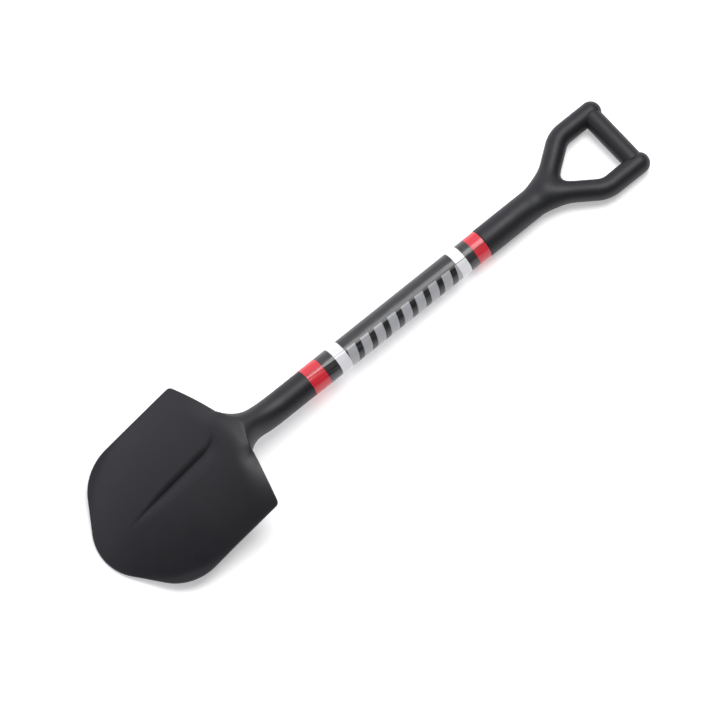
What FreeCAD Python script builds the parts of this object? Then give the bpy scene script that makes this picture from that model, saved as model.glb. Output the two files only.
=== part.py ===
"""Compact round-point shovel with a D-grip, in millimetres.

Every piece is drawn in the shaft frame: the origin is the middle of the crossbar, +X runs along
the shaft from the blade to the grip, and +Z is the side that the blade's arched back faces.
place_on_floor() then tips them all together until the blade's tip and the grip's arms stand on
one floor, with the origin on that floor under the middle of the shovel.
"""
import FreeCAD, Part
import math
import os

from FreeCAD import Placement, Rotation, Vector

# Shaft tube: full width between the blade's socket and the grip, necked down inside both
TUBE_R = 15.0
TUBE_WALL = 1.6
SWAGE_LEN = 6.0
SWAGE_TOE = 0.3
SOCKET_MOUTH_X = -350.0
SOCKET_END_X = -430.0
SOCKET_FIT_R = 13.2
GRIP_MOUTH_X = -171.7
GRIP_FIT_R = 12.9
GRIP_TUBE_END_X = -112.0

# Printed films: each starts where the one before it ends
FILM = 0.45
FILM_STATIONS = {
    "lower_red_band": (-400.2, -380.6),
    "lower_black_band": (-380.6, -365.6),
    "lower_white_band": (-365.6, -352.6),
    "wrap_label": (-352.6, -208.8),
    "upper_white_band": (-208.8, -197.0),
    "upper_black_band": (-197.0, -186.3),
    "upper_red_band": (-186.3, GRIP_MOUTH_X),
}

# Blade: sheet, outline in its own edge plane, and the arch above that plane
SHEET = 1.8
BLADE_PITCH = 16.0
BLADE_ROOT = Vector(-492.0, 0.0, 14.0)
BLADE_LEN = 182.0
HALF_W = 85.6
SIDE_END = 105.0
SIDE_ARC_R = 57.0
TIP_R = 55.0
SHOULDER_TOP = 16.5
SHOULDER_INNER_Y = 28.0
CORNER_R = 5.0
CROWN = 19.0
CROWN_END = 75.0
CROWN_DIP = 4.0
CROWN_DIP_LEN = 20.0
SHOULDER_RISE = 7.0
SHOULDER_ROLL = 20.0
NECK_BLEND_Y = 36.0
NECK_BLEND_W = 20.0
GROOVE_HALF_W = 6.0
GROOVE_DEPTH = 3.5
GROOVE_START = 28.0
GROOVE_STOP = 130.0
GROOVE_FADE_IN = 14.0
GROOVE_FADE_OUT = 22.0

# Grid that the blade's outer face is drawn through, a little larger than its outline
GRID_START = -8.0
GRID_STEP_S = 4.0
GRID_ROWS = 51
GRID_STEP_Y = 3.1
GRID_HALF_COLUMNS = 30
OUTLINE_HALF_HEIGHT = 60.0

# Neck: station along X, half width, half height and middle height of each outer section
NECK_SECTIONS = (
    (-430.0, 15.0, 15.0, 0.0),
    (-447.0, 15.2, 14.9, 1.6),
    (-463.0, 16.6, 14.2, 7.1),
    (-478.0, 20.0, 12.4, 14.6),
    (-491.0, 26.0, 9.2, 19.2),
    (-503.0, 30.0, 5.0, 23.0),
    (-516.0, 22.0, 2.2, 24.2),
)

# Grip: sleeve, the sections of the swelling where it forks, two round arms and the crossbar
SLEEVE_R = 15.65
SLEEVE_END_X = -118.0
FORK_SECTIONS = (
    (SLEEVE_END_X, SLEEVE_R, SLEEVE_R, 0.0),
    (-104.0, 16.6, 15.0, 0.0),
    (-90.0, 18.6, 13.2, 0.0),
    (-76.0, 22.0, 11.4, 0.0),
    (-68.0, 20.0, 9.5, 0.0),
)
ARM_R = 11.0
ARM_Y = 37.8
ARM_ANGLE = 35.0
ARM_BEND_R = 26.0
ARM_ROOT_X = -88.0
ARM_ROOT_Y = 4.0
ARM_END_X = 3.0
BAR_R = 10.75
ROD_R = 5.0
ROD_HALF_LEN = 42.0

# Inner plugs and fasteners
PLUG_CLEAR = 0.1
SOCKET_PLUG_LEN = 55.0
GRIP_PLUG_LEN = 52.0
RIVET_X = -414.0
RIVET_R = 2.4
RIVET_HEAD_R = 5.0
RIVET_HEAD_H = 1.8
RIVET_SADDLE = 1.0
RIVET_DEPTH = 9.0
SCREW_XS = (-154.0, -128.0)
SCREW_R = 2.0
SCREW_HEAD_R = 3.8
SCREW_HEAD_H = 2.2
SCREW_DEPTH = 10.0

ALONG = Vector(1, 0, 0)
ACROSS = Vector(0, 1, 0)
UP = Vector(0, 0, 1)


def rod(radius, x0, x1):
    """Solid cylinder on the shaft axis from x0 to x1."""
    return Part.makeCylinder(radius, x1 - x0, Vector(x0, 0, 0), ALONG)


def ring(outer, inner, x0, x1):
    """Tube on the shaft axis."""
    return rod(outer, x0, x1).cut(rod(inner, x0, x1))


def ease(t):
    """Smooth step from 0 to 1."""
    t = min(max(t, 0.0), 1.0)
    return t * t * (3.0 - 2.0 * t)


# ---------------------------------------------------------------- blade

def blade_placement():
    """Blade frame: origin at the root, its own -X runs down the blade, +Z out of the back."""
    return Placement(BLADE_ROOT, Rotation(ACROSS, -BLADE_PITCH))


def blade_point(s, y, h=0.0):
    """Point in the blade frame at a distance s down the blade."""
    return Vector(-s, y, h)


def arch_height(s, y):
    """Height of the sheet's outer face above the edge plane."""
    across = abs(y) / HALF_W
    down = max(0.0, s - CROWN_END) / (BLADE_LEN - CROWN_END)
    dome = CROWN * (1.0 - (across ** 2 + down ** 2) ** 1.1)
    dome -= CROWN_DIP * max(0.0, 1.0 - s / CROWN_DIP_LEN) ** 2
    beyond_neck = (abs(y) - SHOULDER_INNER_Y) / (HALF_W - SHOULDER_INNER_Y)
    rolled = SHOULDER_RISE * (1.0 - max(0.0, beyond_neck))
    rolled += (dome - rolled) * ease((NECK_BLEND_Y - abs(y)) / NECK_BLEND_W)
    edge_s = SHOULDER_TOP * max(0.0, beyond_neck)
    return rolled + (dome - rolled) * ease((s - edge_s) / SHOULDER_ROLL)


def groove_depth(s, y):
    """Depth of the pressed groove down the middle of the back."""
    off = abs(y) / GROOVE_HALF_W
    if off >= 1.0:
        return 0.0
    ends = ease((s - GROOVE_START) / GROOVE_FADE_IN) * ease((GROOVE_STOP - s) / GROOVE_FADE_OUT)
    return GROOVE_DEPTH * ends * 0.5 * (1.0 + math.cos(math.pi * off))


def nose_heading():
    """Angle from the blade's axis of the straight run between the side arc and the tip arc."""
    dx = (BLADE_LEN - TIP_R) - SIDE_END
    dy = HALF_W - SIDE_ARC_R
    return math.atan2(dy, dx) + math.asin((SIDE_ARC_R - TIP_R) / math.hypot(dx, dy))


def arc_point(centre_s, centre_y, radius, heading):
    """Point of an outline arc where the outline runs at this heading."""
    return blade_point(centre_s + radius * math.sin(heading),
                       centre_y + radius * math.cos(heading))


def half_outline():
    """Edges of the +Y half of the outline, from the neck to the tip."""
    slope = math.atan2(SHOULDER_TOP, HALF_W - SHOULDER_INNER_Y)
    cut = CORNER_R * math.tan(0.5 * (0.5 * math.pi - slope))
    start = blade_point(0.0, SHOULDER_INNER_Y)
    on_shoulder = blade_point(SHOULDER_TOP - cut * math.sin(slope), HALF_W - cut * math.cos(slope))
    centre_s = SHOULDER_TOP + cut
    turn = 0.5 * (0.5 * math.pi + slope)
    on_corner = blade_point(centre_s - CORNER_R * math.cos(turn),
                            HALF_W - CORNER_R + CORNER_R * math.sin(turn))
    on_side = blade_point(centre_s, HALF_W)
    side_end = blade_point(SIDE_END, HALF_W)
    heading = nose_heading()
    side_y = HALF_W - SIDE_ARC_R
    tip_s = BLADE_LEN - TIP_R
    arc_mid = arc_point(SIDE_END, side_y, SIDE_ARC_R, 0.5 * heading)
    arc_end = arc_point(SIDE_END, side_y, SIDE_ARC_R, heading)
    nose_end = arc_point(tip_s, 0.0, TIP_R, heading)
    tip_mid = arc_point(tip_s, 0.0, TIP_R, 0.5 * (heading + 0.5 * math.pi))
    tip = blade_point(BLADE_LEN, 0.0)
    return [
        Part.makeLine(start, on_shoulder),
        Part.Arc(on_shoulder, on_corner, on_side).toShape(),
        Part.makeLine(on_side, side_end),
        Part.Arc(side_end, arc_mid, arc_end).toShape(),
        Part.makeLine(arc_end, nose_end),
        Part.Arc(nose_end, tip_mid, tip).toShape(),
    ]


def blade_outline_prism():
    """Tall block with the blade's outline."""
    half = half_outline()
    other = [edge.mirror(Vector(0, 0, 0), ACROSS) for edge in half]
    root = Part.makeLine(blade_point(0.0, -SHOULDER_INNER_Y), blade_point(0.0, SHOULDER_INNER_Y))
    wire = Part.Wire(Part.__sortEdges__(half + other + [root]))
    face = Part.Face(wire)
    face.translate(UP * -OUTLINE_HALF_HEIGHT)
    return face.extrude(UP * 2.0 * OUTLINE_HALF_HEIGHT)


def blade_sheet():
    """The arched sheet: one smooth face given its thickness, trimmed to the outline."""
    rows = []
    for i in range(GRID_ROWS):
        s = GRID_START + GRID_STEP_S * i
        row = []
        for j in range(-GRID_HALF_COLUMNS, GRID_HALF_COLUMNS + 1):
            y = GRID_STEP_Y * j
            row.append(blade_point(s, y, arch_height(s, y) - groove_depth(s, y)))
        rows.append(row)
    surface = Part.BSplineSurface()
    surface.interpolate(rows)
    slab = surface.toShape().extrude(UP * -SHEET)
    return slab.common(blade_outline_prism())


def section(x, half_w, half_h, mid_z):
    """Upright ellipse across the shaft, as a wire."""
    middle = Vector(x, 0, mid_z)
    if half_w > half_h:
        curve = Part.Ellipse(Vector(x, half_w, mid_z), Vector(x, 0, mid_z + half_h), middle)
    else:
        curve = Part.Circle(middle, ALONG, half_w)
    return Part.Wire(curve.toShape())


def neck_body():
    """Round socket that rises and flattens into the arch."""
    flare = Part.makeLoft([section(*row) for row in NECK_SECTIONS], True, False)
    return rod(TUBE_R, SOCKET_END_X, SOCKET_MOUTH_X).fuse(flare)


def blade():
    """Pressed sheet and its neck in one piece, bored for the tube and drilled for the rivet."""
    sheet = blade_sheet()
    sheet.Placement = blade_placement()
    whole = sheet.fuse(neck_body())
    whole = whole.cut(rod(SOCKET_FIT_R, SOCKET_END_X, SOCKET_MOUTH_X))
    return whole.cut(fastener_hole(RIVET_X, RIVET_R))


# ---------------------------------------------------------------- tube, plugs, films

def swaged_profile(thin):
    """Half profile of the tube from end to end, drawn in by this much from the outside."""
    mouth_in = thin * SWAGE_LEN / TUBE_WALL
    return [
        Vector(SOCKET_END_X, 0, SOCKET_FIT_R - thin),
        Vector(SOCKET_MOUTH_X + SWAGE_TOE * mouth_in, 0, SOCKET_FIT_R - thin),
        Vector(SOCKET_MOUTH_X + mouth_in, 0, TUBE_R - thin),
        Vector(GRIP_MOUTH_X - mouth_in, 0, TUBE_R - thin),
        Vector(GRIP_MOUTH_X - SWAGE_TOE * mouth_in, 0, GRIP_FIT_R - thin),
        Vector(GRIP_TUBE_END_X, 0, GRIP_FIT_R - thin),
    ]


def shaft_tube():
    """Steel tube, necked down where it enters the socket and the grip."""
    outline = swaged_profile(0.0) + swaged_profile(TUBE_WALL)[::-1]
    wall = Part.Face(Part.makePolygon(outline + outline[:1]))
    tube = wall.revolve(Vector(0, 0, 0), ALONG, 360.0).cut(fastener_hole(RIVET_X, RIVET_R))
    for x in SCREW_XS:
        tube = tube.cut(fastener_hole(x, SCREW_R))
    return tube


def socket_plug():
    """Solid insert in the lower end of the tube."""
    radius = SOCKET_FIT_R - TUBE_WALL - PLUG_CLEAR
    plug = rod(radius, SOCKET_END_X, SOCKET_END_X + SOCKET_PLUG_LEN)
    return plug.cut(fastener_hole(RIVET_X, RIVET_R))


def grip_plug():
    """Solid insert in the upper end of the tube."""
    radius = GRIP_FIT_R - TUBE_WALL - PLUG_CLEAR
    plug = rod(radius, GRIP_TUBE_END_X - GRIP_PLUG_LEN, GRIP_TUBE_END_X)
    for x in SCREW_XS:
        plug = plug.cut(fastener_hole(x, SCREW_R))
    return plug


def film(name):
    """One printed film round the shaft."""
    x0, x1 = FILM_STATIONS[name]
    return ring(TUBE_R + FILM, TUBE_R, x0, x1)


# ---------------------------------------------------------------- grip

def arm_path(side):
    """Middle line of one arm: out from the sleeve at an angle, round a bend, then straight."""
    angle = math.radians(ARM_ANGLE)
    bend_len = ARM_BEND_R * math.tan(0.5 * angle)
    knee_x = ARM_ROOT_X + (ARM_Y - ARM_ROOT_Y) / math.tan(angle)
    start = Vector(ARM_ROOT_X, side * ARM_ROOT_Y, 0)
    bend_in_y = ARM_Y - bend_len * math.sin(angle)
    bend_in = Vector(knee_x - bend_len * math.cos(angle), side * bend_in_y, 0)
    centre = Vector(knee_x + bend_len, side * (ARM_Y - ARM_BEND_R), 0)
    mid = centre + Vector(-math.sin(0.5 * angle), side * math.cos(0.5 * angle), 0) * ARM_BEND_R
    bend_out = Vector(knee_x + bend_len, side * ARM_Y, 0)
    end = Vector(ARM_END_X, side * ARM_Y, 0)
    return Part.Wire([
        Part.makeLine(start, bend_in),
        Part.Arc(bend_in, mid, bend_out).toShape(),
        Part.makeLine(bend_out, end),
    ])


def arm(side):
    """One round arm with a domed end."""
    path = arm_path(side)
    start = path.Vertexes[0].Point
    direction = path.Edges[0].tangentAt(path.Edges[0].FirstParameter)
    profile = Part.Wire(Part.makeCircle(ARM_R, start, direction))
    tube = path.makePipeShell([profile], True, False)
    ball = Part.makeSphere(ARM_R, Vector(ARM_END_X, side * ARM_Y, 0))
    root = Part.makeSphere(ARM_R, start)
    return tube.fuse([ball, root])


def yoke_body():
    """Sleeve, the swelling where it forks, and both arms, before the bores."""
    fork = Part.makeLoft([section(*row) for row in FORK_SECTIONS], True, False)
    return rod(SLEEVE_R, GRIP_MOUTH_X, SLEEVE_END_X).fuse([fork, arm(1), arm(-1)])


def rod_bore():
    """Space that the crossbar's steel rod takes, through both arms' inner faces."""
    return Part.makeCylinder(ROD_R, 2.0 * ROD_HALF_LEN, Vector(0, -ROD_HALF_LEN, 0), ACROSS)


def grip_yoke():
    """The moulding, bored for the tube, the rod and the screws."""
    body = yoke_body().cut(rod(GRIP_FIT_R, GRIP_MOUTH_X, GRIP_TUBE_END_X)).cut(rod_bore())
    for x in SCREW_XS:
        body = body.cut(fastener_hole(x, SCREW_R))
        body = body.cut(screw_head(x))
    return body.removeSplitter()


def crossbar_sleeve():
    """Round hand bar, shaped at both ends to sit on the arms."""
    bar = Part.makeCylinder(BAR_R, 2.0 * ARM_Y, Vector(0, -ARM_Y, 0), ACROSS)
    bar = bar.cut(rod_bore()).cut(yoke_body())
    return max(bar.Solids, key=lambda solid: solid.Volume)


def crossbar_core():
    """Steel rod inside the hand bar."""
    return rod_bore()


# ---------------------------------------------------------------- fasteners, on the -Z side

def fastener_hole(x, radius):
    """Radial hole from below, as deep as the fastener."""
    depth = RIVET_DEPTH if x == RIVET_X else SCREW_DEPTH
    bottom = -TUBE_R if x == RIVET_X else -SLEEVE_R
    return Part.makeCylinder(radius, depth, Vector(x, 0, bottom), UP)


def socket_rivet():
    """Blind rivet through the neck and the tube into the plug."""
    shank = Part.makeCylinder(RIVET_R, RIVET_DEPTH, Vector(RIVET_X, 0, -TUBE_R), UP)
    dome_r = (RIVET_HEAD_R ** 2 + RIVET_HEAD_H ** 2) / (2.0 * RIVET_HEAD_H)
    lowest = Vector(RIVET_X, 0, -TUBE_R - RIVET_HEAD_H)
    ball = Part.makeSphere(dome_r, lowest + UP * dome_r)
    flange = Part.makeCylinder(RIVET_HEAD_R, RIVET_HEAD_H + RIVET_SADDLE, lowest, UP)
    head = ball.common(flange).cut(rod(TUBE_R, SOCKET_END_X, SOCKET_MOUTH_X))
    return shank.fuse(head).removeSplitter()


def screw_head(x):
    """Flat head, let into the sleeve until it is flush."""
    return Part.makeCylinder(SCREW_HEAD_R, SCREW_HEAD_H, Vector(x, 0, -SLEEVE_R), UP)


def grip_screws():
    """Both screws, as separate solids."""
    screws = []
    for x in SCREW_XS:
        shank = Part.makeCylinder(SCREW_R, SCREW_DEPTH, Vector(x, 0, -SLEEVE_R), UP)
        screws.append(shank.fuse(screw_head(x)).removeSplitter())
    return Part.makeCompound(screws)


# ---------------------------------------------------------------- placing and writing

def rest_tilt():
    """Angle about +Y that brings the blade's tip and the arms' ends to one height."""
    tip = blade_placement().multVec(blade_point(BLADE_LEN, 0.0, -SHEET))
    run = ARM_END_X - tip.x
    reach = math.hypot(run, tip.z)
    return math.degrees(math.asin(-ARM_R / reach) - math.atan2(tip.z, run))


def place_on_floor(parts):
    """Tip every piece to its rest position and move the origin to the middle of the footprint."""
    turn = Placement(Vector(0, 0, 0), Rotation(ACROSS, rest_tilt()))
    for shape in parts.values():
        shape.Placement = turn.multiply(shape.Placement)
    box = Part.makeCompound(list(parts.values())).optimalBoundingBox(False, False)
    shift = Vector(-box.Center.x, -box.Center.y, -box.ZMin)
    for shape in parts.values():
        shape.translate(shift)
    print("size", round(box.XLength, 2), round(box.YLength, 2), round(box.ZLength, 2))
    print("shift", [round(value, 4) for value in shift], "tilt", round(rest_tilt(), 4))


def main():
    parts = {
        "blade": blade(),
        "shaft_tube": shaft_tube(),
        "socket_plug": socket_plug(),
        "grip_plug": grip_plug(),
        "socket_rivet": socket_rivet(),
        "grip_screws": grip_screws(),
        "grip_yoke": grip_yoke(),
        "crossbar_sleeve": crossbar_sleeve(),
        "crossbar_core": crossbar_core(),
    }
    for name in FILM_STATIONS:
        parts[name] = film(name)
    place_on_floor(parts)
    os.makedirs("parts", exist_ok=True)
    for name, shape in parts.items():
        state = "valid" if shape.isValid() else "INVALID"
        print(name, state, len(shape.Solids), round(shape.Volume, 1))
        shape.exportStep(os.path.join("parts", name + ".step"))


main()
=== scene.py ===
"""Looks of the compact D-grip shovel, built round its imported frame.

Shapes are worked out in millimetres in the shaft frame: the origin is the middle of the
crossbar, +X runs along the shaft towards the grip and +Z out of the blade's arched back.
on_shaft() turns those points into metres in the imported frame.
"""

import math

import bpy
import numpy as np
from mathutils import Matrix, Vector


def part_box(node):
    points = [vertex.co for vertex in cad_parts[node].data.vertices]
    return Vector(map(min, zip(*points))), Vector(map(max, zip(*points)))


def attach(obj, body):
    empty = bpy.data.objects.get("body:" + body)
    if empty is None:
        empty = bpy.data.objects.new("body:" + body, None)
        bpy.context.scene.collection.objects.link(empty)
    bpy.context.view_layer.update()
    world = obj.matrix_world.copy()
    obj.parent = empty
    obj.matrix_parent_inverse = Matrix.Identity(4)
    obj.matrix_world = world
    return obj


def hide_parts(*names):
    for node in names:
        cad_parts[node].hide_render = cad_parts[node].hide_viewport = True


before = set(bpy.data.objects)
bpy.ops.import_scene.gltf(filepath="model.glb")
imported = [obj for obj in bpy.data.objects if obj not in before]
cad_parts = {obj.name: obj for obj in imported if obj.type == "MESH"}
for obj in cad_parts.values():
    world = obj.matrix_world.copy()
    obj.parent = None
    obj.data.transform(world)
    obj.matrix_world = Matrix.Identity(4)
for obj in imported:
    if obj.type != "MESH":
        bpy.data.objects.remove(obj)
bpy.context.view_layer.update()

MM = 0.001

# ---------------------------------------------------------------- sizes, in millimetres and radians

# Tube, films and the ends of the neck and the grip
TUBE_R = 15.0
SOCKET_MOUTH_X = -350.0
NECK_BEND_X = -430.0
GRIP_MOUTH_X = -171.7
FILM_SHEET = 0.3
FILM_LAP = math.radians(11.0)

# Films: their places along the shaft, the dark line at a cut edge that is a painted seam shadow, the
# label's slanted bars and a painted highlight strip along its lap.
# The seam's course holds places along the shaft with its angle there in degrees.
FILM_PLACES = {
    "lower_red_band": (-400.2, -380.6),
    "lower_black_band": (-380.6, -365.6),
    "lower_white_band": (-365.6, -352.6),
    "wrap_label": (-352.6, -208.8),
    "upper_white_band": (-208.8, -197.0),
    "upper_black_band": (-197.0, -186.3),
    "upper_red_band": (-186.3, GRIP_MOUTH_X),
}
SEAM_COURSE = ((-403.0, 2.0), (-352.6, -9.6), (-208.8, -20.0), (GRIP_MOUTH_X, -23.0))
LABEL_START = FILM_PLACES["wrap_label"][0]
# Width of the dark line at the lapped edge: painted seam shadow.
SEAM_SHADOW_WIDTH = 0.036
STRIPE_LEAD = 2.5
STRIPE_PITCH = 17.4
STRIPE_SHARE = 0.6
STRIPE_SLANT = 0.22
# Width of the lighter strip along the label's lap: a painted highlight of the key light on the glossy
# film.
HIGHLIGHT_STRIP_W = 2.0
PRINT_END = math.radians(220.0)

# Colours
COAT_BLACK = (0.0062, 0.0060, 0.0086)
COAT_FLECK = (0.0110, 0.0106, 0.0145)
COAT_DULL = COAT_FLECK
# Lighter rim colour: partly rubbed coat, partly a painted highlight of the cut edge catching the light.
COAT_RIM_WEAR_AND_HIGHLIGHT = (0.085, 0.085, 0.09)
MOULDED_BLACK = (0.0080, 0.0084, 0.0108)
BAR_BLACK = (0.0090, 0.0091, 0.0108)
LABEL_BLACK = (0.010, 0.010, 0.011)
LABEL_GREY = (0.40, 0.405, 0.42)
# Lighter strip at the label's lap: painted highlight, not print.
LABEL_PAINTED_HIGHLIGHT = (0.05, 0.05, 0.053)
LABEL_GROUND = (0.016, 0.0155, 0.018)
# Dark line along the film's lapped edge: painted seam shadow.
SEAM_SHADOW = (0.022, 0.016, 0.017)
FILM_RED = (0.72, 0.016, 0.034)
FILM_BLACK = (0.018, 0.018, 0.019)
FILM_WHITE = (0.88, 0.88, 0.90)

# Blade: root of its edge plane, outline and arch
ROOT_X = -492.0
ROOT_Z = 14.0
PITCH = math.radians(16.0)
SHEET = 1.8
NORMAL_ROUNDS = 16
RIM_BULGE = 0.25
BLADE_LEN = 182.0
HALF_W = 85.6
SIDE_END = 105.0
SIDE_ARC_R = 57.0
TIP_R = 55.0
SHOULDER_TOP = 16.5
SHOULDER_INNER_Y = 28.0
CORNER_R = 5.0
LONG_STEPS = 46
CORNER_STEPS = 9
FLANK_STEPS = 32
NOSE_STEPS = 18
TIP_STEPS = 26
TIP_GAP = 0.012
CROWN = 17.3
CROWN_END = 75.0
DOME_FALL = 2.2
DOME_CORNER = 1.8
EDGE_SOFTNESS = 1.5
EDGE_DROP = 0.2
SHOULDER_RISE = 7.0
SHOULDER_BOW = 13.0
SHOULDER_ROLL = 24.0
ROLL_INNER = 8.0
ROLL_BLEND = 20.0

# Neck: how steeply its back climbs, the flat it meets at the crown, and its open underside
RAMP_RUN = 35.0
RAMP_SLOPE = 0.404
CAP_Z = 29.5
CAP_CAMBER = 0.004
CAP_BLEND = 1.8
RAMP_BLEND = 1.0
RIM_RISE = 20.7
RIM_START_X = -445.0
RIM_CURVE = 2.5
BELOW_LOSS = 0.35
FLARE_X = -465.0
FLARE_CURVE = 2.2
SEAM_OPENS_X = -456.0
SEAM_WIDE_X = -480.0
SEAM_WIDE_ANGLE = math.radians(120.0)
SEAM_CLOSED_ANGLE = math.radians(178.4)

# Rows and columns of the blade's mesh
GROOVE_SHARE = 0.17
GROOVE_COLUMNS = 22
OUTER_COLUMNS = 38
RIM_SHARES = (0.985, 0.992, 0.997, 1.0)
SOCKET_ROWS = 16
NECK_ROWS = 70

# Groove pressed down the middle of the back
GROOVE_HALF_W = 7.5
GROOVE_BOTTOM_Y = 2.2
GROOVE_SPREAD = 2.2
GROOVE_HOOK = 9.0
GROOVE_HOOK_END = 42.0
GROOVE_HOOK_LEN = 24.0
GROOVE_DEPTH = 3.4
GROOVE_START = 18.0
GROOVE_STOP = 149.0
GROOVE_HEAD_LEN = 26.0
GROOVE_HEAD_EXTRA = 4.0
GROOVE_HEAD_FADE = 16.0
GROOVE_NARROWING = 90.0
GROOVE_TAIL_FADE = 62.0

# Grip
SLEEVE_R = 15.65
ARM_R = 11.0
ARM_Y = 37.8
ARM_ANGLE = math.radians(37.0)
ARM_BEND_R = 26.0
ARM_ROOT = (-86.0, 3.2)
ARM_END_X = 3.0
ARM_BLEND = 10.0
FORK_X = -86.0
FORK_APEX_X = -66.0
FORK_BLEND = 12.0
FORK_HALF_H = 12.0
SLEEVE_TAPER_X = -122.0
SLEEVE_TAPER_LEN = 34.0
SLEEVE_WIDENING = 0.6
SLEEVE_FLATTENING = 4.9
SLEEVE_END_X = -90.0
SLEEVE_END_LEN = 16.0
SMOOTHED_FROM_X = FORK_X - 12.0
SMOOTHED_TO_X = -48.0
SMOOTHING_ROUNDS = 12
RING_COUNT = 64
RING_R = 15.0
SLEEVE_RINGS = 50
SLANTED_RINGS = 26
BEND_RINGS = 14
STRAIGHT_RINGS = 24
CAP_RINGS = 14
ARM_FIRST_STEP = 12.0
ARM_EASING_RINGS = 12.0
LIP_R = 0.7
LIP_BEVEL = 0.2
LIP_RING_X = GRIP_MOUTH_X + 2.0
BAR_R = 10.75
BAR_HALF = 34.0
BAR_FULLNESS = 0.12
BAR_RINGS = 41
BAR_COUNT = 96
SCREW_X = -154.0
SCREW_SPACING = 26.0
SCREW_HEAD_R = 3.8
RIVET_X = -414.0
RIVET_HEAD_R = 5.0
BORE_R = 13.0
BORE_END_X = -112.0


# ---------------------------------------------------------------- the shaft frame

def node_centre(name):
    low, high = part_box(name)
    return 0.5 * (np.array(low) + np.array(high))


BAR = node_centre("crossbar_core")
ALONG = BAR - node_centre("lower_red_band")
ALONG /= np.linalg.norm(ALONG)
ACROSS = np.array((0.0, 1.0, 0.0))
AXES = np.array((ALONG, ACROSS, np.cross(ALONG, ACROSS)))


def on_shaft(points):
    """Shaft-frame millimetres to packed-frame metres."""
    return BAR + MM * np.asarray(points, float) @ AXES


def turned(direction):
    """A shaft-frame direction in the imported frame."""
    return Vector(np.asarray(direction, float) @ AXES)


# ---------------------------------------------------------------- small helpers

def ease(t):
    t = np.clip(t, 0.0, 1.0)
    return t * t * (3.0 - 2.0 * t)


def soft_min(a, b, k):
    """Smaller of two fields, rounded over a width of k where they cross."""
    h = np.clip(0.5 + 0.5 * (b - a) / k, 0.0, 1.0)
    return b * (1.0 - h) + a * h - k * h * (1.0 - h)


def make_piece(name, points, faces, material, slot, *nodes):
    """A smooth closed mesh on the shaft that stands for some CAD nodes."""
    mesh = bpy.data.meshes.new(name)
    mesh.from_pydata(on_shaft(points).tolist(), [], faces)
    mesh.shade_smooth()
    mesh.materials.append(material)
    piece = bpy.data.objects.new(name, mesh)
    bpy.context.scene.collection.objects.link(piece)
    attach(piece, "root")
    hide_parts(*nodes)
    return piece


def set_point_values(piece, name, values):
    """A number on every vertex, for the material to read."""
    layer = piece.data.attributes.new(name, "FLOAT", "POINT")
    layer.data.foreach_set("value", np.asarray(values, np.float32).ravel())


def strip_faces(first, second, closed):
    """Quads between two equal rows of vertex numbers."""
    count = len(first)
    last = count if closed else count - 1
    return [(first[i], first[(i + 1) % count], second[(i + 1) % count], second[i]) for i in range(last)]


# ---------------------------------------------------------------- blade and neck

def outline_half_width():
    """Places down the blade and the half width there, as one run of points."""
    slope = math.atan2(SHOULDER_TOP, HALF_W - SHOULDER_INNER_Y)
    cut = CORNER_R * math.tan(0.5 * (0.5 * math.pi - slope))
    shoulder = np.linspace(0.0, 1.0, LONG_STEPS)[:, None]
    start = np.array((0.0, SHOULDER_INNER_Y))
    stop = np.array((SHOULDER_TOP - cut * math.sin(slope), HALF_W - cut * math.cos(slope)))
    runs = [start + shoulder * (stop - start)]
    turn = np.linspace(slope, 0.5 * math.pi, CORNER_STEPS)[1:]
    centre_s = SHOULDER_TOP + cut
    runs.append(np.stack((centre_s - CORNER_R * np.cos(turn),
                          HALF_W - CORNER_R + CORNER_R * np.sin(turn)), 1))
    side = np.linspace(centre_s, SIDE_END, LONG_STEPS)[1:]
    runs.append(np.stack((side, np.full(side.shape, HALF_W)), 1))
    dx = (BLADE_LEN - TIP_R) - SIDE_END
    dy = HALF_W - SIDE_ARC_R
    heading = math.atan2(dy, dx) + math.asin((SIDE_ARC_R - TIP_R) / math.hypot(dx, dy))
    turn = np.linspace(0.0, heading, FLANK_STEPS)[1:]
    runs.append(np.stack((SIDE_END + SIDE_ARC_R * np.sin(turn),
                          HALF_W - SIDE_ARC_R + SIDE_ARC_R * np.cos(turn)), 1))
    nose_start = runs[-1][-1]
    nose_end = np.array((BLADE_LEN - TIP_R + TIP_R * math.sin(heading), TIP_R * math.cos(heading)))
    runs.append(nose_start + np.linspace(0.0, 1.0, NOSE_STEPS)[1:, None] * (nose_end - nose_start))
    turn = np.linspace(heading, 0.5 * math.pi - TIP_GAP, TIP_STEPS)[1:]
    runs.append(np.stack((BLADE_LEN - TIP_R + TIP_R * np.sin(turn), TIP_R * np.cos(turn)), 1))
    return np.concatenate(runs)


def arch_height(s, y):
    """Height of the back above the edge plane."""
    across = np.abs(y) / HALF_W
    down = np.maximum(0.0, s - CROWN_END) / (BLADE_LEN - CROWN_END)
    dome = CROWN * (1.0 - (across ** DOME_CORNER + down ** DOME_CORNER) ** (DOME_FALL / DOME_CORNER))
    dome = 0.5 * (dome + np.sqrt(dome ** 2 + EDGE_SOFTNESS)) - EDGE_DROP
    beyond = (np.abs(y) - SHOULDER_INNER_Y) / (HALF_W - SHOULDER_INNER_Y)
    rolled = (SHOULDER_RISE + SHOULDER_BOW * np.maximum(0.0, beyond)) * (1.0 - np.maximum(0.0, beyond))
    rolled = rolled + (dome - rolled) * ease((SHOULDER_INNER_Y + ROLL_INNER - np.abs(y)) / ROLL_BLEND)
    edge_s = SHOULDER_TOP * np.maximum(0.0, beyond)
    left = 1.0 - np.clip((s - edge_s) / SHOULDER_ROLL, 0.0, 1.0)
    return dome - (dome - rolled) * left ** 2


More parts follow.
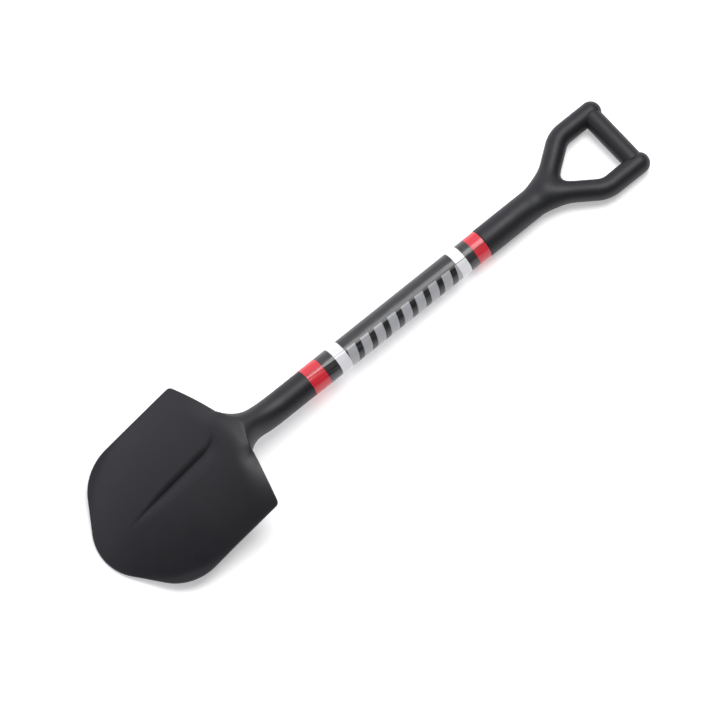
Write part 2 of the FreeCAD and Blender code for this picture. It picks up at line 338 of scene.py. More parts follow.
def groove_depth(s, y):
    """Depth of the pressed groove: steep on its +Y wall, gentle on the other, wide at its head."""
    head = np.maximum(0.0, 1.0 - (s - GROOVE_START) / GROOVE_HEAD_LEN)
    tail = ease((GROOVE_STOP - s) / GROOVE_NARROWING)
    half = GROOVE_HALF_W * (0.5 + 0.5 * tail) + GROOVE_HEAD_EXTRA * head ** 2
    hook = np.maximum(0.0, (GROOVE_HOOK_END - s) / GROOVE_HOOK_LEN)
    from_bottom = y - GROOVE_BOTTOM_Y - GROOVE_HOOK * hook ** 2
    steep = np.clip(from_bottom / half, 0.0, 1.0)
    gentle = np.clip(-from_bottom / (GROOVE_SPREAD * half), 0.0, 1.0)
    wall = (1.0 - np.where(from_bottom > 0.0, steep, gentle)) ** 2
    ends = ease((s - GROOVE_START) / GROOVE_HEAD_FADE) * ease((GROOVE_STOP - s) / GROOVE_TAIL_FADE)
    return GROOVE_DEPTH * ends * wall


def neck_section(x):
    """Half width, height of the back, height of the widest point, and depth below that."""
    d = np.maximum(0.0, NECK_BEND_X - x)
    bend = np.minimum(d, RAMP_RUN)
    back = TUBE_R + 0.5 * RAMP_SLOPE / RAMP_RUN * bend ** 2 + RAMP_SLOPE * (d - bend)
    flare = np.maximum(0.0, FLARE_X - x) / (FLARE_X - ROOT_X)
    half_w = TUBE_R + (SHOULDER_INNER_Y - TUBE_R) * flare ** FLARE_CURVE
    rise = np.maximum(0.0, RIM_START_X - x) / (RIM_START_X - ROOT_X)
    below = TUBE_R * (1.0 - BELOW_LOSS * np.minimum(rise, 1.0))
    return half_w, back, RIM_RISE * rise ** RIM_CURVE, below


def back_surface(x, y):
    """Height of the blade's back, from the neck's ramp over the crown and down the arch."""
    s = (ROOT_X - x) / math.cos(PITCH)
    half_w, back, middle, _ = neck_section(x)
    ramp = middle + (back - middle) * np.sqrt(np.maximum(0.0, 1.0 - (y / half_w) ** 2))
    cap = CAP_Z - CAP_CAMBER * np.minimum(np.abs(y), SHOULDER_INNER_Y) ** 2
    arch = ROOT_Z - (ROOT_X - x) * math.tan(PITCH) + arch_height(s, y) / math.cos(PITCH)
    height = soft_min(soft_min(arch, cap, CAP_BLEND), ramp, RAMP_BLEND)
    return height - groove_depth(s, y)


def blade_columns():
    """Column places across the blade, from -1 to 1: close together over the groove and at the rim."""
    inner = np.linspace(0.0, GROOVE_SHARE, GROOVE_COLUMNS)
    outer = np.linspace(GROOVE_SHARE, RIM_SHARES[0], OUTER_COLUMNS)[1:]
    half = np.concatenate((inner, outer, RIM_SHARES[1:]))
    return np.concatenate((-half[:0:-1], half))


def neck_row(x, even, across):
    """One row of the rolled neck: nearly a closed ring at the socket, a half ring at the root."""
    half_w, _, middle, below = neck_section(x)
    opening = ease((SEAM_OPENS_X - x) / (SEAM_OPENS_X - SEAM_WIDE_X))
    late = np.clip((SEAM_WIDE_X - x) / (SEAM_WIDE_X - ROOT_X), 0.0, 1.0)
    span = SEAM_CLOSED_ANGLE + (SEAM_WIDE_ANGLE - SEAM_CLOSED_ANGLE) * opening
    span = span + (0.5 * math.pi - SEAM_WIDE_ANGLE) * late
    blend = ease((NECK_BEND_X - x) / (NECK_BEND_X - ROOT_X))
    angle = span * (even + blend * (np.arcsin(across) / (0.5 * math.pi) - even))
    x_row = np.full(angle.shape, x)
    y = half_w * np.sin(angle)
    z = np.where(np.cos(angle) > 0.0, back_surface(x_row, y), middle + below * np.cos(angle))
    return np.stack((x_row, y, z), 1)


def blade_grid():
    """Outer face of the rolled and pressed sheet: rows from the socket's mouth to the tip."""
    across = blade_columns()
    even = np.linspace(-1.0, 1.0, len(across))
    stations = np.concatenate((np.linspace(SOCKET_MOUTH_X, NECK_BEND_X, SOCKET_ROWS)[:-1],
                               np.linspace(NECK_BEND_X, ROOT_X, NECK_ROWS)[:-1]))
    rows = [neck_row(x, even, across) for x in stations]
    for s, half_w in outline_half_width():
        x = np.full(across.shape, ROOT_X - s * math.cos(PITCH))
        y = across * half_w
        rows.append(np.stack((x, y, back_surface(x, y)), 1))
    return np.array(rows)


def unit(v):
    return v / np.maximum(np.linalg.norm(v, axis=-1, keepdims=True), 1e-9)


def thick_sheet(grid, thickness):
    """Closes a grid of points into a sheet: an inner face, and a rounded rim all round."""
    count_r, count_c = grid.shape[:2]
    normal = unit(np.cross(np.gradient(grid, axis=1), np.gradient(grid, axis=0)))
    for _ in range(NORMAL_ROUNDS):
        normal[1:-1] = unit(normal[:-2] + 2.0 * normal[1:-1] + normal[2:])
    inner = grid - thickness * normal
    number = np.arange(count_r * count_c).reshape(count_r, count_c)
    under = number + number.size
    loop = [(r, count_c - 1) for r in range(count_r)]
    loop += [(count_r - 1, c) for c in range(count_c - 2, -1, -1)]
    loop += [(r, 0) for r in range(count_r - 2, -1, -1)]
    loop += [(0, c) for c in range(1, count_c - 1)]
    at = tuple(np.array(loop).T)
    edge = grid[at]
    run = unit(np.roll(edge, -1, axis=0) - np.roll(edge, 1, axis=0))
    out = unit(np.cross(run, normal[at]))
    points = [grid.reshape(-1, 3), inner.reshape(-1, 3)]
    rings = [number[at]]
    total = 2 * number.size
    middle = 0.5 * (edge + inner[at])
    for turn in (45.0, 0.0, -45.0):
        lift = 0.5 * thickness * math.sin(math.radians(turn))
        push = RIM_BULGE * thickness * math.cos(math.radians(turn))
        points.append(middle + lift * normal[at] + push * out)
        rings.append(np.arange(total, total + len(loop)))
        total += len(loop)
    rings.append(under[at])
    faces = []
    for r in range(count_r - 1):
        faces += strip_faces(number[r], number[r + 1], False)
        faces += strip_faces(under[r + 1], under[r], False)
    for a, b in zip(rings[:-1], rings[1:]):
        faces += strip_faces(b, a, True)
    return np.concatenate(points), faces


def build_blade(material):
    grid = blade_grid()
    points, faces = thick_sheet(grid, SHEET)
    blade = make_piece("pressed_blade", points, faces, material, "blade_steel", "blade")
    on_blade = np.stack(((ROOT_X - points[:, 0]) / math.cos(PITCH), np.abs(points[:, 1])), 1)
    gaps = [np.hypot(*(on_blade - spot).T) for spot in outline_half_width()]
    set_point_values(blade, "from_rim", np.min(gaps, axis=0))


# ---------------------------------------------------------------- grip

def arm_bend():
    """Where the bend in the +Y arm begins, and the bend's centre, in plan."""
    bend_len = ARM_BEND_R * math.tan(0.5 * ARM_ANGLE)
    knee_x = ARM_ROOT[0] + (ARM_Y - ARM_ROOT[1]) / math.tan(ARM_ANGLE)
    bend_in = (knee_x - bend_len * math.cos(ARM_ANGLE), ARM_Y - bend_len * math.sin(ARM_ANGLE))
    return bend_in, (knee_x + bend_len, ARM_Y - ARM_BEND_R)


def arm_line_distance(x, y):
    """Distance in plan from the middle line of the +Y arm."""
    bend_in, centre = arm_bend()
    slanted = segment_distance(x, y, ARM_ROOT, bend_in)
    straight = segment_distance(x, y, (centre[0], ARM_Y), (ARM_END_X, ARM_Y))
    turn = np.arctan2(-(x - centre[0]), y - centre[1])
    on_bend = (turn >= 0.0) & (turn <= ARM_ANGLE)
    bend = np.where(on_bend, np.abs(np.hypot(x - centre[0], y - centre[1]) - ARM_BEND_R), 1e3)
    return np.minimum(np.minimum(slanted, straight), bend)


def segment_distance(x, y, a, b):
    dx, dy = b[0] - a[0], b[1] - a[1]
    t = np.clip(((x - a[0]) * dx + (y - a[1]) * dy) / (dx * dx + dy * dy), 0.0, 1.0)
    return np.hypot(x - a[0] - t * dx, y - a[1] - t * dy)


def yoke_field(p):
    """Below zero inside the moulding, above zero outside it."""
    x, y, z = p[:, 0], p[:, 1], p[:, 2]
    upper = np.hypot(arm_line_distance(x, y), z) - ARM_R
    lower = np.hypot(arm_line_distance(x, -y), z) - ARM_R
    arms = soft_min(upper, lower, ARM_BLEND)
    taper = ease((x - SLEEVE_TAPER_X) / SLEEVE_TAPER_LEN)
    half_w = SLEEVE_R + SLEEVE_WIDENING * taper
    half_h = SLEEVE_R - SLEEVE_FLATTENING * taper
    past = np.maximum(0.0, x - SLEEVE_END_X) / SLEEVE_END_LEN
    sleeve = (np.sqrt((y / half_w) ** 2 + (z / half_h) ** 2 + past ** 2) - 1.0) * half_h
    return soft_min(arms, sleeve, FORK_BLEND)


def drop_onto(points, field, rounds):
    """Moves points along the field's slope until they lie on its surface."""
    step = 0.02
    least_slope = 0.05
    longest = 3.0
    for _ in range(rounds):
        value = field(points)
        slope = np.stack([(field(points + step * axis) - field(points - step * axis)) / (2.0 * step)
                          for axis in np.eye(3)], 1)
        size = np.maximum((slope ** 2).sum(1), least_slope)
        points = points - np.clip(value / size, -longest, longest)[:, None] * slope
    return points


def arm_rings(count, first_ring):
    """Rings of points along the +Y arm, easing from the fork's ring into circles."""
    bend_in, centre = np.array(arm_bend())
    start = np.array(ARM_ROOT) + np.array((ARM_FIRST_STEP, ARM_FIRST_STEP * math.tan(ARM_ANGLE)))
    stops = []
    for t in np.linspace(0.0, 1.0, SLANTED_RINGS)[:-1]:
        stops.append((start + t * (bend_in - start), ARM_ANGLE, ARM_R, 0.0))
    for a in np.linspace(ARM_ANGLE, 0.0, BEND_RINGS)[:-1]:
        spot = centre + ARM_BEND_R * np.array((-math.sin(a), math.cos(a)))
        stops.append((spot, a, ARM_R, 0.0))
    for x in np.linspace(centre[0], ARM_END_X, STRAIGHT_RINGS):
        stops.append((np.array((x, ARM_Y)), 0.0, ARM_R, 0.0))
    for a in np.linspace(0.0, 0.5 * math.pi, CAP_RINGS)[1:-1]:
        stops.append((np.array((ARM_END_X, ARM_Y)), 0.0, ARM_R * math.cos(a), ARM_R * math.sin(a)))
    round_about = 2.0 * math.pi * np.arange(count) / count
    rings = [first_ring]
    for i, (spot, heading, radius, ahead) in enumerate(stops):
        side = radius * np.sin(round_about)
        ring = np.stack((spot[0] - side * math.sin(heading) + ahead,
                         spot[1] + side * math.cos(heading),
                         radius * np.cos(round_about)), 1)
        share = ease((i + 1) / ARM_EASING_RINGS)
        rings.append(first_ring * (1.0 - share) + ring * share)
    return np.array(rings)


def relax(points, neighbours, free, rounds):
    """Evens out the free points between their neighbours, then puts them back on the surface."""
    for _ in range(rounds):
        mean = points[neighbours].mean(1)
        points = np.where(free[:, None], 0.5 * points + 0.5 * mean, points)
        points = np.where(free[:, None], drop_onto(points, yoke_field, 1), points)
    return points


def build_yoke(material):
    """Sleeve, fork and arms as one skin of even rings, dropped onto the moulding's shape."""
    count = RING_COUNT
    half = count // 2
    turn = 2.0 * math.pi * np.arange(count) / count
    stations = [GRIP_MOUTH_X + LIP_R] + list(np.linspace(LIP_RING_X, FORK_X, SLEEVE_RINGS))
    rings = [np.stack((np.full(count, x), RING_R * np.sin(turn), RING_R * np.cos(turn)), 1)
             for x in stations]
    t = np.linspace(0.0, math.pi, half + 1)[1:-1]
    crotch = np.stack((FORK_X + (FORK_APEX_X - FORK_X) * np.sin(t), np.zeros(t.shape),
                       -FORK_HALF_H * np.cos(t)), 1)
    base = len(rings) * count
    points = [np.concatenate(rings), crotch]
    crotch_ids = base + np.arange(len(crotch))
    last = (len(rings) - 1) * count
    faces = []
    for i in range(len(rings) - 1):
        a = np.arange(i * count, (i + 1) * count)
        faces += strip_faces(a + count, a, True)
    total = base + len(crotch)
    first_ring = np.concatenate((rings[-1][:half + 1], crotch))
    up_ids = np.concatenate((last + np.arange(half + 1), crotch_ids))
    low_ids = np.concatenate(([last], last + np.arange(count - 1, half - 1, -1), crotch_ids))
    up_rings = arm_rings(count, first_ring)[1:]
    for sign, ids in ((1.0, up_ids), (-1.0, low_ids)):
        before = ids
        for ring in up_rings:
            now = total + np.arange(count)
            points.append(ring * np.array((1.0, sign, 1.0)))
            quads = strip_faces(now, before, True)
            faces += quads if sign > 0.0 else [q[::-1] for q in quads]
            before = now
            total += count
        points.append(np.array(((ARM_END_X + ARM_R, sign * ARM_Y, 0.0),)))
        cap = [(total, before[(i + 1) % count], before[i]) for i in range(count)]
        faces += cap if sign > 0.0 else [c[::-1] for c in cap]
        total += 1
    points = np.concatenate(points)
    points = drop_onto(points, yoke_field, 6)
    points = smooth_fork(points, faces)
    mouth = [(GRIP_MOUTH_X + LIP_BEVEL, SLEEVE_R - LIP_BEVEL), (GRIP_MOUTH_X, SLEEVE_R - LIP_R),
             (GRIP_MOUTH_X, BORE_R), (BORE_END_X, BORE_R)]
    before = np.arange(count)
    for x, radius in mouth:
        now = total + np.arange(count)
        points = np.concatenate((points, np.stack((np.full(count, x), radius * np.sin(turn),
                                                   radius * np.cos(turn)), 1)))
        faces += strip_faces(before, now, True)
        before = now
        total += count
    faces.append(tuple(int(i) for i in before))
    yoke = make_piece("moulded_grip", points, faces, material, "grip_plastic", "grip_yoke")
    set_point_values(yoke, "from_parting", points[:, 2])


def smooth_fork(points, faces):
    """Lets the points round the fork slide along the surface until they are evenly spread."""
    near = [set() for _ in points]
    for face in faces:
        for a, b in zip(face, face[1:] + face[:1]):
            near[a].add(int(b))
            near[b].add(int(a))
    by_fork = (points[:, 0] > SMOOTHED_FROM_X) & (points[:, 0] < SMOOTHED_TO_X)
    has_four = np.array([len(n) == 4 for n in near])
    four = np.array([(list(n) * 4)[:4] for n in near])
    return relax(points, four, by_fork & has_four, SMOOTHING_ROUNDS)


def build_bar(material):
    """Round hand bar, a touch fuller in the middle."""
    count = BAR_COUNT
    turn = 2.0 * math.pi * np.arange(count) / count
    places = np.linspace(-BAR_HALF, BAR_HALF, BAR_RINGS)
    rings = []
    for place in places:
        radius = BAR_R - BAR_FULLNESS * (place / BAR_HALF) ** 2
        rings.append(np.stack((radius * np.cos(turn), np.full(count, place), radius * np.sin(turn)), 1))
    total = len(rings) * count
    faces = [tuple(range(count)), tuple(range(total - 1, total - count - 1, -1))]
    for i in range(len(rings) - 1):
        a = np.arange(i * count, (i + 1) * count)
        faces += strip_faces(a + count, a, True)
    points = np.concatenate(rings)
    bar = make_piece("hand_bar", points, faces, material, "bar_plastic", "crossbar_sleeve")
    set_point_values(bar, "from_parting", points[:, 2])


# ---------------------------------------------------------------- screws and rivet, on the underside

def fastener_rings(profile, recess_r, recess_depth, sides, count):
    """Head turned from (radius, height) pairs, with a many-sided or round recess in its top."""
    turn = 2.0 * math.pi * np.arange(count) / count
    if sides:
        sector = 2.0 * math.pi / sides
        from_flat = (turn + 0.5 * sector) % sector - 0.5 * sector
        edge = recess_r * math.cos(0.5 * sector) / np.cos(from_flat)
    else:
        edge = np.full(count, recess_r)
    top = profile[-1][1]
    rings = [(np.full(count, radius), height) for radius, height in profile]
    rings += [(edge * 1.06, top), (edge, top - 0.12), (edge * 0.97, top - recess_depth)]
    points = [np.stack((r * np.cos(turn), r * np.sin(turn), np.full(count, h)), 1) for r, h in rings]
    faces = []
    for i in range(len(rings) - 1):
        a = np.arange(i * count, (i + 1) * count)
        faces += strip_faces(a, a + count, True)
    last = (len(rings) - 1) * count
    faces.append(tuple(range(last, last + count)))
    faces.append(tuple(range(count - 1, -1, -1)))
    return np.concatenate(points), faces


def row_tree():
    """Repeats its own mesh along the shaft at even spacing."""
    group = bpy.data.node_groups.new("fastener_row", "GeometryNodeTree")
    group.interface.new_socket("Head", in_out="INPUT", socket_type="NodeSocketGeometry")
    named_inputs(group, {"First place": 0.0, "Spacing": 10.0, "Underside": -TUBE_R})
    group.interface.new_socket("Count", in_out="INPUT", socket_type="NodeSocketInt")
    group.interface.new_socket("Finish", in_out="INPUT", socket_type="NodeSocketMaterial")
    group.interface.new_socket("Row", in_out="OUTPUT", socket_type="NodeSocketGeometry")
    t = Tree(group)
    given = t.add("NodeGroupInput").outputs
    first = t.add("ShaderNodeCombineXYZ", {"X": given["First place"], "Z": given["Underside"]})
    step = t.add("ShaderNodeCombineXYZ", {"X": given["Spacing"]})
    spots = t.add("GeometryNodeMeshLine",
                  {"Count": given["Count"], "Start Location": first, "Offset": step})
    row = t.add("GeometryNodeInstanceOnPoints", {"Points": spots, "Instance": given["Head"],
                                                 "Rotation": (math.pi, 0.0, 0.0)})
    row = t.add("GeometryNodeRealizeInstances", {"Geometry": row})
    row = t.add("GeometryNodeSetMaterial", {"Geometry": row, "Material": given["Finish"]})
    t.add("NodeGroupOutput", {"Row": row})
    return group


def build_fasteners(screw_finish, rivet_finish):
    """Two socket screws in the grip's sleeve, and the rivet that holds the blade's socket."""
    group = row_tree()
    screw = [(SCREW_HEAD_R - 0.3, -2.0), (SCREW_HEAD_R, -1.8), (SCREW_HEAD_R, 0.1), (3.6, 0.3),
             (3.1, 0.42), (2.2, 0.46)]
    rivet = [(2.4, -6.0), (2.4, -0.4), (RIVET_HEAD_R, -0.4), (RIVET_HEAD_R, 0.2), (4.8, 0.6),
             (4.2, 1.15), (3.3, 1.6), (2.2, 1.8), (1.7, 1.78)]
    rows = (
        ("grip_socket_screws", screw, (1.9, 1.3, 6, 60), "screw_steel", "grip_screws",
         {"First place": SCREW_X, "Spacing": SCREW_SPACING, "Count": 2, "Underside": -SLEEVE_R,
          "Finish": screw_finish}),
        ("socket_dome_rivet", rivet, (1.2, 1.1, 0, 48), "rivet_steel", "socket_rivet",
         {"First place": RIVET_X, "Spacing": 0.0, "Count": 1, "Underside": -TUBE_R,
          "Finish": rivet_finish}),
    )
    for name, profile, recess, slot, node, values in rows:
        points, faces = fastener_rings(profile, *recess)
        head = bpy.data.meshes.new(name)
        head.from_pydata(points.tolist(), [], faces)
        head.shade_smooth()
        head.set_sharp_from_angle(angle=math.radians(40.0))
        row = baked(name, group, values, head)
        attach(row, "root")
        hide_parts(node)


# ---------------------------------------------------------------- films

class Tree:
    """A few short ways to place and join nodes."""

    def __init__(self, tree):
        self.tree = tree

    def add(self, kind, inputs=None, **settings):
        node = self.tree.nodes.new(kind)
        for name, value in settings.items():
            setattr(node, name, value)
        for key, value in (inputs or {}).items():
            self.set(node.inputs[key], value)
        return node

    def set(self, socket, value):
        if isinstance(value, bpy.types.NodeSocket):
            self.tree.links.new(value, socket)
        elif isinstance(value, bpy.types.Node):
            self.tree.links.new(next(out for out in value.outputs if out.enabled), socket)
        else:
            socket.default_value = value

    def math(self, operation, *values, clamp=False):
        kind = "ShaderNodeMath"
        node = self.add(kind, dict(enumerate(values)), operation=operation)
        node.use_clamp = clamp
        return node.outputs[0]

    def ramp(self, value, low, high, out_low=0.0, out_high=1.0):
        inputs = {"Value": value, "From Min": low, "From Max": high,
                  "To Min": out_low, "To Max": out_high}
        return self.add("ShaderNodeMapRange", inputs, interpolation_type="SMOOTHSTEP").outputs[0]


def named_inputs(group, sizes):
    """Gives a node group its named number inputs."""
    for name, value in sizes.items():
        socket = group.interface.new_socket(name, in_out="INPUT", socket_type="NodeSocketFloat")
        socket.default_value = value


def film_tree():
    """A strip wound once round the shaft, its outer end lapped over its inner end."""
    group = bpy.data.node_groups.new("wound_film", "GeometryNodeTree")
    named_inputs(group, {"Start": 0.0, "Length": 10.0, "Inner radius": TUBE_R, "Thickness": FILM_SHEET,
                         "Seam angle": 0.0, "Seam skew": 0.0, "Lap": FILM_LAP, "Points": 200.0})
    group.interface.new_socket("Finish", in_out="INPUT", socket_type="NodeSocketMaterial")
    group.interface.new_socket("Film", in_out="OUTPUT", socket_type="NodeSocketGeometry")
    t = Tree(group)
    given = t.add("NodeGroupInput").outputs
    line = t.add("GeometryNodeCurvePrimitiveLine")
    line = t.add("GeometryNodeResampleCurve", {"Curve": line, "Count": given["Points"]})
    along = t.add("GeometryNodeSplineParameter").outputs["Factor"]
    turn = t.math("MULTIPLY", along, t.math("ADD", 2.0 * math.pi, given["Lap"]))
    lapped = t.ramp(turn, given["Lap"], t.math("MULTIPLY", given["Lap"], 1.6), 1.0, 0.0)
    outer = t.math("MULTIPLY", lapped, given["Thickness"])
    half = t.math("MULTIPLY", given["Thickness"], 0.5)
    radius = t.math("ADD", t.math("ADD", given["Inner radius"], half), outer)
    angle = t.math("SUBTRACT", given["Seam angle"], turn)
    sin, cos = t.math("SINE", angle), t.math("COSINE", angle)
    middle = t.math("MULTIPLY_ADD", given["Length"], 0.5, given["Start"])
    place = t.add("ShaderNodeCombineXYZ", {"X": middle, "Y": t.math("MULTIPLY", radius, sin),
                                           "Z": t.math("MULTIPLY", radius, cos)})
    path = t.add("GeometryNodeSetPosition", {"Geometry": line, "Position": place})
    outward = t.add("ShaderNodeCombineXYZ", {"X": 0.0, "Y": sin, "Z": cos})
    path = t.add("GeometryNodeSetCurveNormal", {"Curve": path, "Normal": outward}, mode="FREE")
    path = t.add("GeometryNodeStoreNamedAttribute", {"Geometry": path, "Name": "wound", "Value": turn},
                 data_type="FLOAT", domain="POINT")
    strip = t.add("GeometryNodeCurvePrimitiveQuadrilateral",
                  {"Width": given["Thickness"], "Height": given["Length"]})
    strip = t.add("GeometryNodeFilletCurve", {"Curve": strip, "Count": 2,
                                              "Radius": t.math("MULTIPLY", given["Thickness"], 0.4)},
                  mode="POLY")
    skin = t.add("GeometryNodeCurveToMesh", {"Curve": path, "Profile Curve": strip, "Fill Caps": True})
    spot = t.add("GeometryNodeInputPosition")
    along_shaft = t.add("ShaderNodeSeparateXYZ", {0: spot}).outputs["X"]
    skin = t.add("GeometryNodeStoreNamedAttribute",
                 {"Geometry": skin, "Name": "along", "Value": along_shaft},
                 data_type="FLOAT", domain="POINT")
    askew = t.math("MULTIPLY", t.math("SUBTRACT", middle, along_shaft), given["Seam skew"])
    turned_spot = t.add("ShaderNodeVectorRotate",
                        {"Vector": spot, "Axis": (1.0, 0.0, 0.0), "Angle": askew},
                        rotation_type="AXIS_ANGLE")
    skin = t.add("GeometryNodeSetPosition", {"Geometry": skin, "Position": turned_spot})
    skin = t.add("GeometryNodeSetShadeSmooth", {"Geometry": skin, "Shade Smooth": False})
    skin = t.add("GeometryNodeRealizeInstances", {"Geometry": skin})
    skin = t.add("GeometryNodeSetMaterial", {"Geometry": skin, "Material": given["Finish"]})
    t.add("NodeGroupOutput", {"Film": skin})
    return group


def baked(name, group, values, mesh=None):
    """Runs a geometry tree with these inputs and keeps the result as a plain piece on the shaft."""
    carrier = bpy.data.objects.new(name, mesh or bpy.data.meshes.new(name))
    bpy.context.scene.collection.objects.link(carrier)
    modifier = carrier.modifiers.new(name, "NODES")
    modifier.node_group = group
    for item in group.interface.items_tree:
        if item.item_type == "SOCKET" and item.in_out == "INPUT" and item.name in values:
            modifier[item.identifier] = values[item.name]
    bpy.context.view_layer.update()
    seen = carrier.evaluated_get(bpy.context.evaluated_depsgraph_get())
    mesh = bpy.data.meshes.new_from_object(seen, preserve_all_data_layers=True,
                                           depsgraph=bpy.context.evaluated_depsgraph_get())
    carrier.modifiers.clear()
    spots = np.empty(3 * len(mesh.vertices), np.float32)
    mesh.vertices.foreach_get("co", spots)
    mesh.vertices.foreach_set("co", on_shaft(spots.reshape(-1, 3)).astype(np.float32).ravel())
    carrier.data = mesh
    return carrier


def build_films(finishes):
    """All seven films. Their seam wanders round the shaft a little from the blade to the grip."""
    group = film_tree()
    for node, (start, stop) in FILM_PLACES.items():
        slot = "label_film" if node == "wrap_label" else node.split("_")[1] + "_film"
        seam = np.radians(np.interp((start, stop), *zip(*SEAM_COURSE)))
        film = baked("wound_" + node, group, {
            "Start": start, "Length": stop - start, "Finish": finishes[slot],
            "Seam angle": float(seam.mean()), "Seam skew": float(seam[1] - seam[0]) / (stop - start)})
        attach(film, "root")
        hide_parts(node)


# ---------------------------------------------------------------- shared effects

def effect(name, sizes, outputs, build):
    """Shader node group with named number inputs and outputs."""
    group = bpy.data.node_groups.new(name, "ShaderNodeTree")
    named_inputs(group, sizes)
    for output in outputs:
        group.interface.new_socket(output, in_out="OUTPUT", socket_type="NodeSocketFloat")
    t = Tree(group)
    given = t.add("NodeGroupInput").outputs
    t.add("NodeGroupOutput", build(t, given))
    return group


def noise(t, scale, detail, roughness=0.5, where=None):
    where = where or t.add("ShaderNodeTexCoord").outputs["Object"]
    return t.add("ShaderNodeTexNoise", {"Vector": where, "Scale": scale, "Detail": detail,
                                        "Roughness": roughness}).outputs["Fac"]


def grain(t, given):
    """Skin of a coat or a moulding: rounded grains with a finer tooth on them."""
    grains = noise(t, given["Grains per metre"], 2.0)
    tooth = noise(t, t.math("MULTIPLY", given["Grains per metre"], 4.0), 3.0, 0.6)
    height = t.math("MULTIPLY_ADD", t.math("MULTIPLY", tooth, given["Tooth"]), 0.6, grains)
    return {"Height": height, "Fleck": t.ramp(tooth, 0.42, 0.72)}


def handling(t, given):
    """Broad patches where hands and packing have dulled or cleaned the surface."""
    patches = noise(t, given["Patches per metre"], 4.0, 0.55)
    wisps = noise(t, t.math("MULTIPLY", given["Patches per metre"], 5.0), 5.0, 0.65)
    dull = t.math("MULTIPLY", t.ramp(patches, 0.35, 0.7), t.ramp(wisps, 0.3, 0.75))
    return {"Dull": t.math("MULTIPLY", dull, given["Amount"])}


def edge_wear_and_highlight(t, given):
    """Thin broken lighter line along an edge, from the distance to it: partly rubbed coat, partly a
    painted highlight where the edge catches the light.
    """
    broken = noise(t, 260.0, 4.0, 0.6)
    reach = t.math("MULTIPLY", given["Reach"], t.math("ADD", broken, 0.35))
    near = t.ramp(given["Distance"], 0.0, reach, 1.0, 0.0)
    return {"Wear_and_highlight": t.math("MULTIPLY", near, given["Amount"])}


def film_streaks(t, given):
    """Fine lengthwise drag lines and soft waves that a film takes when it is pulled tight."""
    across = t.math("MULTIPLY", given["Wound"], given["Lines"])
    place = t.add("ShaderNodeCombineXYZ", {"X": across, "Y": t.math("MULTIPLY", given["Along"], 0.02)})
    lines = noise(t, 1.0, 3.0, 0.7, place)
    wide = t.add("ShaderNodeCombineXYZ", {"X": t.math("MULTIPLY", given["Wound"], 1.6),
                                          "Y": t.math("MULTIPLY", given["Along"], 0.09)})
    waves = noise(t, 1.0, 2.0, 0.5, wide)
    return {"Lines": t.ramp(lines, 0.45, 0.75), "Waves": waves}


GRAIN = effect("surface_grain", {"Grains per metre": 900.0, "Tooth": 1.0}, ("Height", "Fleck"), grain)
HANDLING = effect("handling_marks", {"Patches per metre": 20.0, "Amount": 1.0}, ("Dull",), handling)
EDGE_WEAR_AND_HIGHLIGHT = effect("edge_wear_and_highlight", {"Distance": 10.0, "Reach": 1.0, "Amount": 1.0}, ("Wear_and_highlight",), edge_wear_and_highlight)
STREAKS = effect("film_streaks", {"Wound": 0.0, "Along": 0.0, "Lines": 14.0}, ("Lines", "Waves"),
                 film_streaks)


# ---------------------------------------------------------------- materials

def finish_of(name, constants):
    """New material: its tree, its shader, and the shader values that are the same all over."""
    material = bpy.data.materials.new(name)
    material.use_nodes = True
    t = Tree(material.node_tree)
    shader = material.node_tree.nodes["Principled BSDF"]
    for key, value in constants.items():
        shader.inputs[key].default_value = value
    return material, t, shader


def use(t, group, inputs):
    node = t.add("ShaderNodeGroup", node_tree=group)
    for key, value in inputs.items():
        t.set(node.inputs[key], value)
    return node.outputs


def mixed(t, factor, first, second):
    """Colour between two colours."""
    node = t.add("ShaderNodeMix", data_type="RGBA")
    t.set(node.inputs["Factor"], factor)
    for key, value in (("A", first), ("B", second)):
        socket = next(i for i in node.inputs if i.name == key and i.type == "RGBA")
        t.set(socket, value if isinstance(value, bpy.types.NodeSocket) else (*value, 1.0))
    return next(o for o in node.outputs if o.type == "RGBA")


def bumped(t, shader, height, strength, distance):
    bump = t.add("ShaderNodeBump", {"Height": height, "Strength": strength, "Distance": distance})
    t.set(shader.inputs["Normal"], bump.outputs["Normal"])


def attribute(t, name):
    return t.add("ShaderNodeAttribute", attribute_name=name).outputs["Fac"]


def coat_finish(name, worn_and_lit_rim):
    """Satin black powder coat with a lighter line along the rim where the piece has one: partly rubbing,
    partly a painted highlight of the edge catching the light.
    """
    material, t, shader = finish_of(name, {"Specular IOR Level": 0.45, "IOR": 1.5})
    skin = use(t, GRAIN, {"Grains per metre": 750.0, "Tooth": 0.6})
    marks = use(t, HANDLING, {"Patches per metre": 14.0, "Amount": 0.8})
    color = mixed(t, skin["Fleck"], COAT_BLACK, COAT_FLECK)
    color = mixed(t, marks["Dull"], color, COAT_DULL)
    rough = t.ramp(marks["Dull"], 0.0, 1.0, 0.48, 0.56)
    if worn_and_lit_rim:
        # Lighter line along the rim: partly rubbing, partly a painted highlight of the edge.
        rim_wear_and_highlight = use(t, EDGE_WEAR_AND_HIGHLIGHT, {"Distance": attribute(t, "from_rim"), "Reach": 1.3, "Amount": 0.6})["Wear_and_highlight"]
        color = mixed(t, rim_wear_and_highlight, color, COAT_RIM_WEAR_AND_HIGHLIGHT)
        rough = t.math("SUBTRACT", rough, t.math("MULTIPLY", rim_wear_and_highlight, 0.1))
    t.set(shader.inputs["Base Color"], color)
    t.set(shader.inputs["Roughness"], rough)
    bumped(t, shader, skin["Height"], 0.22, 0.00012)
    return material


